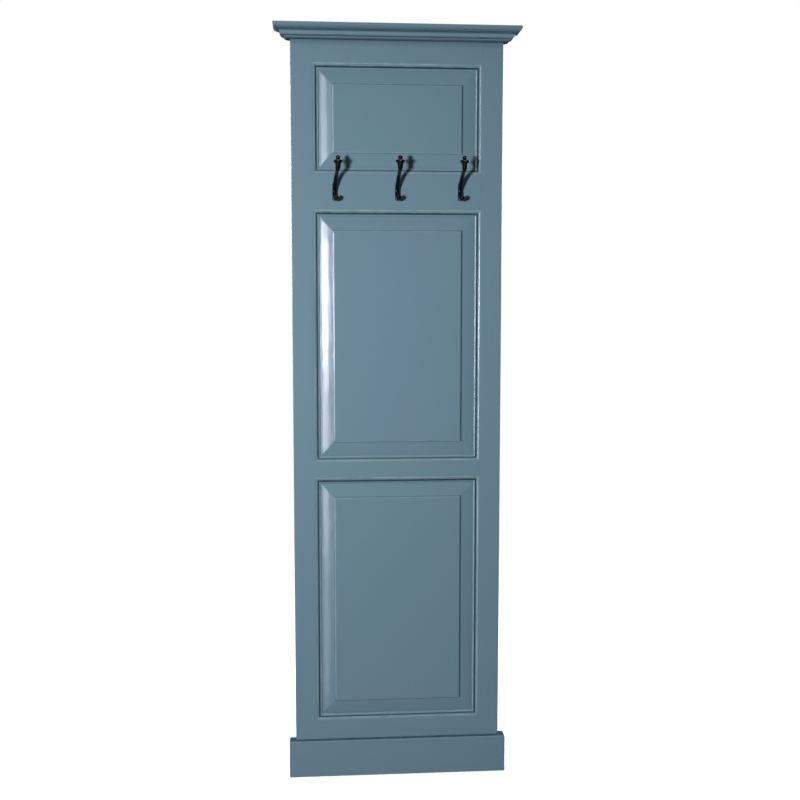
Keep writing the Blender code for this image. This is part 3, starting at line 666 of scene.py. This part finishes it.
def rail_shell(name):
    """A rail whose mouldings meet the stiles' in mitres."""
    flat_low, flat_high = rail_flats(name)
    lower = [(depth, flat_low - inset) for inset, depth in stick_profile()]
    upper = [(depth, flat_high + inset) for inset, depth in stick_profile()][::-1]
    if name == "bottom_rail":
        lower = [(0.0, flat_low), (THICK, flat_low)]
    if name == "top_rail":
        upper = [(THICK, flat_high), (0.0, flat_high)]
    loop, split = lower + upper, len(lower)
    count = len(loop)
    verts = []
    for side in (-1.0, 1.0):
        for depth, z in loop:
            past = max(flat_low - z, z - flat_high, 0.0)
            verts.append((side * (FLAT_X - JOINT - past), depth - THICK, z))
    faces = band_faces(2, count)
    for base in (0, count):
        faces.append((base, base + split - 1, base + split, base + count - 1))
        if len(lower) > 2:
            faces.append(tuple(range(base, base + split)))
        if len(upper) > 2:
            faces.append(tuple(range(base + split, base + count)))
    return verts, faces


def split_back(piece):
    """Gives the faces that look backward the second material."""
    for face in piece.data.polygons:
        face.material_index = 1 if face.normal.y > BACKWARD else 0


def sway_strength(node):
    """How far a piece's surface may sway, as a function of the place."""
    if node in RAILS:
        low, high = rail_flats(node)
        low, high = low - FLAT_MARGIN, high + FLAT_MARGIN
        return lambda place: SWAY_FLAT if low < place.z < high else SWAY_MOULD
    if node.endswith("_stile"):
        return lambda place: SWAY_MOULD if abs(place.x) < FLAT_X - FLAT_MARGIN else SWAY_FLAT
    if node in PANEL_BOXES:
        edge = FIELD_EDGE + FIELD_MARGIN
        return lambda place: SWAY_BEVEL if border_inset(node, place) < edge else SWAY_FLAT
    return lambda place: SWAY_BEVEL


def finish_wood(piece, node, grain, seed):
    """Softens, slices, sways and paints a wooden piece; a panel is sliced both ways."""
    is_panel = node in PANEL_BOXES
    is_frame = node in RAILS or node.endswith("_stile")
    soften(piece, FINE_ARRIS if is_frame else ARRIS)
    for axis in "XZ" if is_panel else grain:
        slice_up(piece, "XYZ".index(axis), SLICE)
    sway(piece, sway_strength(node))
    mark_edges(piece)
    if is_panel:
        mark_across(piece)
        mark_field(piece, node)
    elif is_frame:
        mark_stick(piece, node)
    elif node != "crown_cap":
        mark_meeting_shade(piece)
    stand_for(piece, node, "painted_wood", [paint(node, grain, seed), thin_coat(node, grain, seed)])
    split_back(piece)
    shade(piece)


PEG_NODES = sorted(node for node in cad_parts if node.startswith("peg_"))


def peg_tools(node):
    """Cutters for the peg holes in a stile."""
    low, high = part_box(node)
    tools = []
    for peg in PEG_NODES:
        near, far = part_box(peg)
        middle = (near + far) / 2
        if low.x < middle.x < high.x and low.z < middle.z < high.z:
            start, radius = (middle.x, PAST, middle.z), (far.x - near.x) / 2 + GAP / 2
            tools.append(rod_tool(start, (0, -1, 0), radius, PAST - near.y + GAP))
    return tools


def make_stiles():
    for seed, (side, word) in enumerate(SIDES, 1):
        node = word + "_stile"
        piece = new_piece(node + "_wood", *stile_shell(side))
        for tool in peg_tools(node):
            combine(piece, tool)
        finish_wood(piece, node, "Z", seed)


def make_rails():
    for seed, node in enumerate(RAILS, 5):
        piece = new_piece(node + "_wood", *rail_shell(node))
        if node == "bottom_rail":
            for x in PLINTH_SCREW_X:
                seat = (x, PAST, PLINTH_SCREW_Z)
                combine(piece, rod_tool(seat, (0, -1, 0), PLINTH_SCREW[1] + GAP, PLINTH_SEAT))
        finish_wood(piece, node, "X", seed)


# ---- raised panels ----
def panel_shell(panel):
    """A raised panel: its back, its tongue and its border, closed by the field."""
    rings = [(-TONGUE_DEEP, LIP_DEEP + GROOVE_WIDE - GAP), (-TONGUE_DEEP, PANEL_LOW), (0.0, PANEL_LOW)]
    start = rings[-1]
    for inset, depth, tilts, count in BORDER:
        rings += slope_curve(start, inset - start[0], depth - start[1], tilts, count)[1:]
        start = (inset, depth)
    low, high = sight_heights(panel)
    verts = []
    for inset, depth in rings:
        x, y = SIGHT_X - inset, depth - THICK
        up = inset * BORDER_TALL if inset > 0.0 else inset
        verts += [(-x, y, low + up), (x, y, low + up), (x, y, high - up), (-x, y, high - up)]
    return verts, stack_faces(len(rings), 4)


def border_inset(panel, place):
    """How far a point lies inside the sight edge, measured as at the panel's sides."""
    low, high = sight_heights(panel)
    near_end = min(place.z - low, high - place.z)
    return min(SIGHT_X - abs(place.x), near_end / BORDER_TALL)


def mark_across(piece):
    """Stores 1 on the faces of a panel's upper and lower border, which were brushed sideways."""
    layer = piece.data.attributes.new("across", "FLOAT", "FACE")
    for face, value in zip(piece.data.polygons, layer.data):
        value.value = 1.0 if abs(face.normal.z) > max(abs(face.normal.x), SLOPING) else 0.0


def mark_field(piece, panel):
    """Marks the worn line round the field, also a painted highlight, and the painted shade at its
    step's foot.

    The painted shade leaves the foot pale at the left, where the lamps lie on it.
    """
    lines = piece.data.attributes.new("line", "FLOAT", "POINT")
    edges = piece.data.attributes["edge"].data
    for vert, line, edge in zip(piece.data.vertices, lines.data, edges):
        inset = border_inset(panel, vert.co)
        line.value = FIELD_WEAR_AND_HIGHLIGHT * fade(abs(inset - STEP_END), WEAR_REACH)
        away = abs(inset - SHOULDER)
        # painted shade at the foot of the step, stronger at the right, away from the lamps
        dark = FOOT_SHADE_RIGHT if inset > SIGHT_X - vert.co.x - SLACK else FOOT_SHADE
        if away < FOOT_REACH and inset < SIGHT_X + vert.co.x - SLACK:
            edge.value = max(edge.value, HOLLOW_FROM) - dark * fade(away, FOOT_REACH)


def mark_stick(piece, node):
    """Marks painted shade in the moulding's channel, and the worn lines beside it, also painted
    highlights.
    """
    lines = piece.data.attributes.new("line", "FLOAT", "POINT")
    edges = piece.data.attributes["edge"].data
    for vert, line, edge in zip(piece.data.vertices, lines.data, edges):
        hollow, past, wear_and_highlight = STICK_STILE
        inset = FLAT_X - abs(vert.co.x)
        if node in RAILS:
            low, high = rail_flats(node)
            inset = max(low - vert.co.z, vert.co.z - high)
            hollow, past, wear_and_highlight = STICK_ABOVE if vert.co.z < low else STICK_BELOW
        if abs(abs(vert.co.x) - FLAT_X) < JOINT_PLAIN:
            edge.value = 0.0
        if not 0.0 < inset < STICK or vert.co.y > LIP_DEEP - THICK:
            continue
        # the channel gets painted shade; the lines beside it are worn and also painted highlights
        if OVOLO_WIDE - SLACK < inset < BEAD_NEAR + past:
            edge.value = hollow
        line.value = max(share * fade(abs(inset - middle), reach) for middle, reach, share in wear_and_highlight)


def mark_meeting_shade(piece):
    """Marks for painted shade the points where a strip of trim meets the frame."""
    for vert, value in zip(piece.data.vertices, piece.data.attributes["edge"].data):
        away = max(abs(vert.co.x) - HALF_WIDTH, -vert.co.y - THICK)
        # painted shade where the trim meets the frame
        if away < FRAME_SHADE_REACH:
            value.value = -1.0


def make_panels():
    for seed, panel in enumerate(PANEL_BOXES, 11):
        piece = new_piece(panel + "_wood", *panel_shell(panel))
        finish_wood(piece, panel, "Z", seed)


# ---- crown and plinth ----
def cap_profile():
    """Projection from the frame and height, from the top edge round to the underside."""
    edge = arc((CAP_OUT - CAP_EASE, HEIGHT - CAP_EASE), (CAP_EASE, CAP_EASE), 90, 0, 4)
    round_wide = CAP_OUT - CAP_ROUND[0]
    under = arc(CAP_ROUND, (round_wide, -CAP_ROUND_DEEP), 0, 78, 10)
    return edge + under[1:] + [(CAP_FILLET_OUT, CAP_LOW)]


def cap_shell():
    verts, rings = [], cap_profile()
    for out, z in rings:
        x, y = HALF_WIDTH + out, -THICK - out
        verts += [(-x, y, z), (x, y, z), (x, 0.0, z), (-x, 0.0, z)]
    return verts, stack_faces(len(rings), 4)


def bed_profile():
    """The bed moulding under the cap: an ovolo, a quirk and a flat bead, as a closed outline."""
    ovolo = arc((BED_ROUND_IN, FRAME_TOP), (BED_OUT - BED_ROUND_IN, -BED_ROUND_DEEP), 0, 90, 10)
    quirk = [(BED_QUIRK_IN, FRAME_TOP - BED_ROUND_DEEP), (BED_QUIRK_IN, BED_BEAD_HIGH)]
    bead = arc((0.0, BED_BEAD_HIGH), (BED_QUIRK_IN, BED_LOW - BED_BEAD_HIGH), 8, 90, 8)
    return [(JOINT, FRAME_TOP)] + ovolo + quirk + bead[:-1] + [(JOINT, BED_LOW)]


def plinth_profile(out):
    ease = arc((out - PLINTH_EASE, PLINTH_HIGH - PLINTH_EASE), (PLINTH_EASE, PLINTH_EASE), 90, 0, 8)
    return [(JOINT, 0.0), (JOINT, PLINTH_HIGH)] + ease + [(out, 0.0)]


def front_shell(profile, side_ratio):
    """A strip across the front; side_ratio is the returns' projection over the front's."""
    verts = [
        (side * (HALF_WIDTH + out * side_ratio - MITRE), -THICK - out, z)
        for side in (-1.0, 1.0) for out, z in profile
    ]
    return verts, stack_faces(2, len(profile))


def return_shell(profile, side, front_ratio):
    """A strip along one side, back to the wall; front_ratio is the front's projection over its own."""
    corner = [(side * (HALF_WIDTH + out), -THICK - out * front_ratio + MITRE, z) for out, z in profile]
    wall = [(side * (HALF_WIDTH + out), 0.0, z) for out, z in profile]
    return corner + wall, stack_faces(2, len(profile))


def make_trim(name, seed, front, side, ratio):
    """A strip across the front and its two returns; ratio is their projection over the front's."""
    node = name + "_front"
    piece = new_piece(node + "_wood", *front_shell(front, ratio))
    finish_wood(piece, node, "X", seed)
    for i, (way, word) in enumerate(SIDES, 1):
        node = f"{name}_{word}"
        piece = new_piece(node + "_wood", *return_shell(side, way, 1 / ratio))
        finish_wood(piece, node, "Y", seed + i)


def make_crown():
    cap = new_piece("crown_cap_wood", *cap_shell())
    for x in CAP_SCREW_X:
        seat = (x, -THICK / 2, HEIGHT + PAST)
        combine(cap, rod_tool(seat, (0, 0, -1), CAP_SCREW[1] + GAP, CAP_SEAT))
    finish_wood(cap, "crown_cap", "X", 21)
    make_trim("crown_mould", 22, bed_profile(), bed_profile(), 1.0)


def make_plinth():
    front, side = plinth_profile(PLINTH_FRONT), plinth_profile(PLINTH_SIDE)
    make_trim("plinth", 31, front, side, PLINTH_SIDE / PLINTH_FRONT)


# ---- hooks ----
def smooth_line(points, steps):
    """A Catmull-Rom curve through the points, with the same number of steps in each span."""

    def between(a, b, c, d, t):
        curve = (2 * a - 5 * b + 4 * c - d) * t ** 2 + (3 * b - a - 3 * c + d) * t ** 3
        return 0.5 * (2 * b + (c - a) * t + curve)

    line = []
    for i in range(len(points) - 1):
        p0, p1 = points[max(i - 1, 0)], points[i]
        p2, p3 = points[i + 1], points[min(i + 2, len(points) - 1)]
        for k in range(steps):
            line.append(tuple(between(*column, k / steps) for column in zip(p0, p1, p2, p3)))
    line.append(tuple(points[-1]))
    return line


def arm_rings():
    """The casting's rings (centre, direction, half width, half thickness) and the ball's end."""
    rings = [((ARM_LINE[0][0], height), (0.0, -1.0), r, r) for r, height in reversed(FINIAL)]
    line = smooth_line(ARM_LINE, 5)
    for i, (out, height, wide, thick) in enumerate(line):
        before, after = line[max(i - 1, 0)], line[min(i + 1, len(line) - 1)]
        along = Vector((after[0] - before[0], after[1] - before[1])).normalized()
        if i == 0:
            along = Vector((0.0, -1.0))
        rings.append(((out, height), tuple(along), wide, thick))
    along = (Vector(BALL_CENTRE) - Vector(line[-1][:2])).normalized()
    for degrees in range(-40, 81, 10):
        a = math.radians(degrees)
        centre = Vector(BALL_CENTRE) + along * (BALL_R * math.sin(a))
        rings.append((tuple(centre), tuple(along), BALL_R * math.cos(a), BALL_R * math.cos(a)))
    return rings, Vector(BALL_CENTRE) + along * BALL_R


def arm_shell(place):
    rings, end = arm_rings()
    verts = [place(0.0, ARM_LINE[0][0], FINIAL_TOP)]
    for (out, height), (along_out, along_up), wide, thick in rings:
        for k in range(ROUND_SIDES):
            a = 2 * math.pi * k / ROUND_SIDES
            side, lift = wide * math.cos(a), thick * math.sin(a)
            verts.append(place(side, out - lift * along_up, height + lift * along_out))
    verts.append(place(0.0, end[0], end[1]))
    return verts, pole_faces(len(rings), ROUND_SIDES)


def plate_shell(x, z):
    """The long back plate with round ends and a pillowed front."""
    width, height, thick = HOOK_PLATE
    straight = (height - width) / 2
    layers = [(0.0, 0.0)] + arc((PLATE_EASE, thick - PLATE_EASE), (-PLATE_EASE, PLATE_EASE), 0, 90, 5)
    verts = []
    for inset, out in layers:
        radius = width / 2 - inset
        for half, start in ((1, 0), (-1, 180)):
            for dx, dz in arc((0.0, half * straight), (radius, radius), start, start + 180, 16):
                verts.append((x + dx, -THICK - GAP - out, z + PLATE_MIDDLE + dz))
    return verts, stack_faces(len(layers), len(verts) // len(layers))


def fuse(piece):
    """Melts the joined shapes into one casting with soft inner corners."""
    step = piece.modifiers.new("fuse", "REMESH")
    step.mode = "VOXEL"
    step.voxel_size = VOXEL
    step = piece.modifiers.new("relax", "SMOOTH")
    step.factor = 0.5
    step.iterations = 5
    settle(piece)


def mark_rub_and_glint(piece, local):
    """Stores where hands and hangers have worn the casting to brass, and its painted highlights, from 0
    to 1.
    """
    layer = piece.data.attributes.new("rub_and_glint", "FLOAT", "POINT")
    for vert, value in zip(piece.data.vertices, layer.data):
        here = local(vert.co)
        value.value = max(
            weight * fade((here - Vector(middle)).length, reach) for middle, reach, weight in RUB_AND_GLINT_SPOTS
        )


def make_hook(seed, name, x, z, swing):
    """One casting; its own frame is in millimetres: sideways, projection, height."""
    turn = Matrix.Rotation(math.radians(swing), 3, "Z")
    base = Vector((x, -THICK - GAP, z))

    def place(lateral, out, height):
        return base + turn @ Vector((lateral, -out, height)) * MM

    def local(point):
        here = turn.transposed() @ (point - base) / MM
        return Vector((here.x, -here.y, here.z))

    casting = new_piece(name + "_casting", *arm_shell(place))
    combine(casting, new_piece("tool", *plate_shell(x, z)), "UNION")
    fuse(casting)
    for height in HOOK_SCREWS:
        seat = (x, -THICK - GAP - HOOK_PLATE[2] - PAST, z + height)
        combine(casting, rod_tool(seat, (0, 1, 0), HOOK_SCREW[0] + GAP, HOOK_SEAT))
    mark_rub_and_glint(casting, local)
    stand_for(casting, name, "hook_bronze", [bronze(name, seed)])
    shade(casting)


def make_hooks():
    for seed, (name, x, z, swing) in enumerate(HOOKS):
        make_hook(41 + seed, name, x, z, swing)


# ---- screws and pegs ----
def make_screw(node, size, place, axis, domed, seed):
    """A slotted wood screw; place is the seat of the head and axis points to the screw's tip."""
    shank, head, length = size
    if domed:
        crown = [(0.0, -DOME_HIGH)] + arc((0.0, 0.0), (head, -DOME_HIGH), 90, 0, 8)[1:] + [(shank, 0.0)]
    else:
        crown = [(0.0, 0.0), (head - HEAD_RIM, 0.0), (head, HEAD_RIM), (shank, head - shank)]
    profile = crown + [(shank, length - POINT_LONG), (0.0, length)]
    screw = new_piece(node + "_metal", *lathe_shell(profile, place, axis))
    top = -DOME_HIGH if domed else 0.0
    seat, way = Vector(place), Vector(axis)
    turn = Matrix.Rotation(math.radians(SLOT_TURN + NEXT_TURN * seed), 3, way)
    reach = turn @ way.orthogonal().normalized() * (head + PAST)
    width = way.cross(reach).normalized() * (SLOT_WIDE / 2)
    verts = []
    for depth in (top - PAST, top + SLOT_DEEP):
        for u, v in ((-1, -1), (1, -1), (1, 1), (-1, 1)):
            verts.append(seat + way * depth + reach * u + width * v)
    combine(screw, new_piece("tool", verts, stack_faces(2, 4)))
    soften(screw, SCREW_ARRIS, 45.0)
    slot, colours = ("bronze_screw", SCREW_BRONZE) if domed else ("steel_screw", SCREW_STEEL)
    stand_for(screw, node, slot, [screw_metal(node, seed, colours)])
    shade(screw)


def make_screws():
    screws = []
    for hook, x, z, _ in HOOKS:
        for word, height in zip(("upper", "lower"), HOOK_SCREWS):
            seat = (x, -THICK - GAP - HOOK_PLATE[2] - GAP, z + height)
            screws.append((f"{hook}_screw_{word}", HOOK_SCREW, seat, (0, 1, 0), True))
    rows = (
        ("cap", CAP_SCREW, CAP_SCREW_X, -THICK / 2, HEIGHT - FLUSH, (0, 0, -1)),
        ("plinth", PLINTH_SCREW, PLINTH_SCREW_X, -FLUSH, PLINTH_SCREW_Z, (0, -1, 0)),
    )
    for kind, size, places, y, z, axis in rows:
        for word, x in zip(("left", "middle", "right"), places):
            screws.append((f"{kind}_screw_{word}", size, (x, y, z), axis, False))
    for seed, screw in enumerate(screws):
        make_screw(*screw, seed)


def make_pegs():
    for seed, node in enumerate(PEG_NODES):
        low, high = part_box(node)
        middle = (low + high) / 2
        radius, length = (high.x - low.x) / 2, high.y - low.y
        dome = arc((0.0, PEG_DOME), (radius, -PEG_DOME), 90, 0, 4)[1:]
        tip = [(radius * wide, length * far) for wide, far in PEG_TAPER]
        start = (middle.x, high.y, middle.z)
        shell = lathe_shell([(0.0, 0.0)] + dome + tip + [(0.0, length)], start, (0, -1, 0))
        peg = new_piece(node + "_turned", *shell)
        stand_for(peg, node, "peg_wood", [end_grain(node, seed, middle)])
        shade(peg)


# ---- surroundings ----
CAMERA_PLACE = (-0.217, -2.920, 1.298)
CAMERA_YAW, CAMERA_PITCH = 4.41, -5.27
CAMERA_LENS = 49.19
KEY_PLACE = (-0.81, -2.35, 1.37)
KEY_TARGET = (0.0, 0.0, 1.15)
KEY_SIZE = 0.21
KEY_POWER = 70.0
GLINT_POWER = 0.9  # the same lamp, as the gloss shows it
REFLECTOR_PLACE = (-1.19, -2.35, 1.27)
REFLECTOR_WIDE = 0.32
# four nested reflectors that only gloss shows: height of each and its power
REFLECTORS = ((0.60, 22.0), (1.50, 18.0), (2.50, 18.0), (4.00, 12.0))
REFLECTOR_COLOUR = (1.0, 0.94, 1.06)
BOUNCE_PLACE, BOUNCE_TARGET = (0.0, -0.50, 0.02), (0.0, 0.0, 0.15)
BOUNCE_SIZE, BOUNCE_POWER = (1.0, 0.3), 0.42
BACK_PLACE, BACK_TARGET = (2.3, 1.7, 1.9), (0.0, 0.0, 0.9)
BACK_SIZE, BACK_POWER = 1.2, 75.0
# even glow, what is added straight above and below, and how narrowly
GLOW, GLOW_ABOVE, GLOW_BELOW, GLOW_POWER = 0.02, 0.9, 0.30, 4.0
GLOW_COLOUR = (0.95, 0.98, 1.0, 1.0)
WHITE = (1.0, 1.0, 1.0, 1.0)
FLOOR_RADIUS, FLOOR_RINGS, FLOOR_SIDES = 3.2, 6, 64
FLOOR_LOW = 0.0004  # how far the floor lies below the part's foot
FLOOR_COLOUR = (0.90, 0.90, 0.90, 1.0)
FLOOR_FADE = (0.5, 3.0)  # distances between which the floor fades out


def area_light(name, place, target, size, power):
    """A one-sided lamp; size is a disk's diameter or a rectangle's width and height."""
    lamp = bpy.data.lights.new(name, "AREA")
    lamp.energy = power
    if isinstance(size, tuple):
        lamp.shape = "RECTANGLE"
        lamp.size, lamp.size_y = size
    else:
        lamp.shape = "DISK"
        lamp.size = size
    obj = bpy.data.objects.new(name, lamp)
    obj.location = place
    obj.visible_camera = False
    bpy.context.scene.collection.objects.link(obj)
    way = Vector(target) - obj.location
    obj.rotation_euler = way.to_track_quat("-Z", "Y").to_euler()
    return obj


def make_lights():
    """A small lamp near the camera, reflectors at its left, a faint lamp at the foot, two behind."""
    key = area_light("key", KEY_PLACE, KEY_TARGET, KEY_SIZE, KEY_POWER)
    key.visible_glossy = False
    glint = area_light("glint", KEY_PLACE, KEY_TARGET, KEY_SIZE, GLINT_POWER)
    glint.visible_diffuse = False
    for i, (tall, power) in enumerate(REFLECTORS):
        target = (0.0, 0.0, REFLECTOR_PLACE[2])
        lamp = area_light(f"reflector_{i}", REFLECTOR_PLACE, target, (REFLECTOR_WIDE, tall), power)
        lamp.visible_diffuse = False
        lamp.data.color = REFLECTOR_COLOUR
    bounce = area_light("bounce", BOUNCE_PLACE, BOUNCE_TARGET, BOUNCE_SIZE, BOUNCE_POWER)
    bounce.visible_glossy = False
    x, y, z = BACK_PLACE
    for side, word in SIDES:
        area_light("back_" + word, (side * x, y, z), BACK_TARGET, BACK_SIZE, BACK_POWER)


def make_world():
    """White where the camera looks past the object, and a soft glow from above and below."""
    world = bpy.data.worlds.new("studio")
    world.use_nodes = True
    sky = Nodes(world.node_tree)
    way = sky.add("ShaderNodeTexCoord").outputs["Generated"]
    up = sky.add("ShaderNodeSeparateXYZ", Vector=way).outputs["Z"]
    ends = sky.span(up, -1.0, 1.0, GLOW_BELOW, GLOW_ABOVE)
    strength = sky.math("MULTIPLY_ADD", sky.math("POWER", up, GLOW_POWER), ends, GLOW)
    glow = sky.tree.nodes["Background"]
    sky.feed(glow.inputs, {"Color": GLOW_COLOUR, "Strength": strength})
    seen = sky.add("ShaderNodeBackground", Color=WHITE)
    rays = sky.add("ShaderNodeLightPath")
    mix = sky.add("ShaderNodeMixShader", Fac=rays.outputs["Is Camera Ray"])
    sky.feed(mix.inputs, {1: glow.outputs["Background"], 2: seen.outputs["Background"]})
    sky.feed(sky.tree.nodes["World Output"].inputs, {"Surface": mix.outputs["Shader"]})
    bpy.context.scene.world = world


def make_floor():
    """A pale round floor that fades out into the white around it."""
    verts = [(0.0, 0.0, 0.0)]
    for j in range(1, FLOOR_RINGS + 1):
        radius = FLOOR_RADIUS * j / FLOOR_RINGS
        for k in range(FLOOR_SIDES):
            a = 2 * math.pi * k / FLOOR_SIDES
            verts.append((radius * math.cos(a), radius * math.sin(a), 0.0))
    faces = [(0, 1 + k, 1 + (k + 1) % FLOOR_SIDES) for k in range(FLOOR_SIDES)]
    faces += [face[::-1] for face in band_faces(FLOOR_RINGS, FLOOR_SIDES, 1)]
    floor = new_piece("floor", verts, faces)
    floor.location.z = -FLOOR_LOW
    shader = Shader("pale_floor")
    place = shader.add("ShaderNodeTexCoord").outputs["Object"]
    reach = shader.add("ShaderNodeVectorMath", {"operation": "LENGTH"})
    shader.feed(reach.inputs, {0: place})
    fade_out = shader.span(reach.outputs["Value"], *FLOOR_FADE, 1.0, 0.0)
    shader.set(Base_Color=FLOOR_COLOUR, Roughness=0.9, Alpha=fade_out)
    shader.set(Emission_Color=WHITE, Emission_Strength=0.45)
    floor.data.materials.append(shader.material)
    floor.visible_diffuse = False
    floor.visible_glossy = False


def make_camera():
    lens = bpy.data.cameras.new("camera")
    lens.lens = CAMERA_LENS
    camera = bpy.data.objects.new("camera", lens)
    camera.location = CAMERA_PLACE
    camera.rotation_euler = (math.radians(90.0 + CAMERA_PITCH), 0.0, math.radians(-CAMERA_YAW))
    bpy.context.scene.collection.objects.link(camera)
    bpy.context.scene.camera = camera


bpy.context.scene.view_settings.view_transform = "Standard"
make_camera()
make_world()
make_lights()
make_floor()
make_stiles()
make_rails()
make_panels()
make_crown()
make_plinth()
make_hooks()
make_screws()
make_pegs()
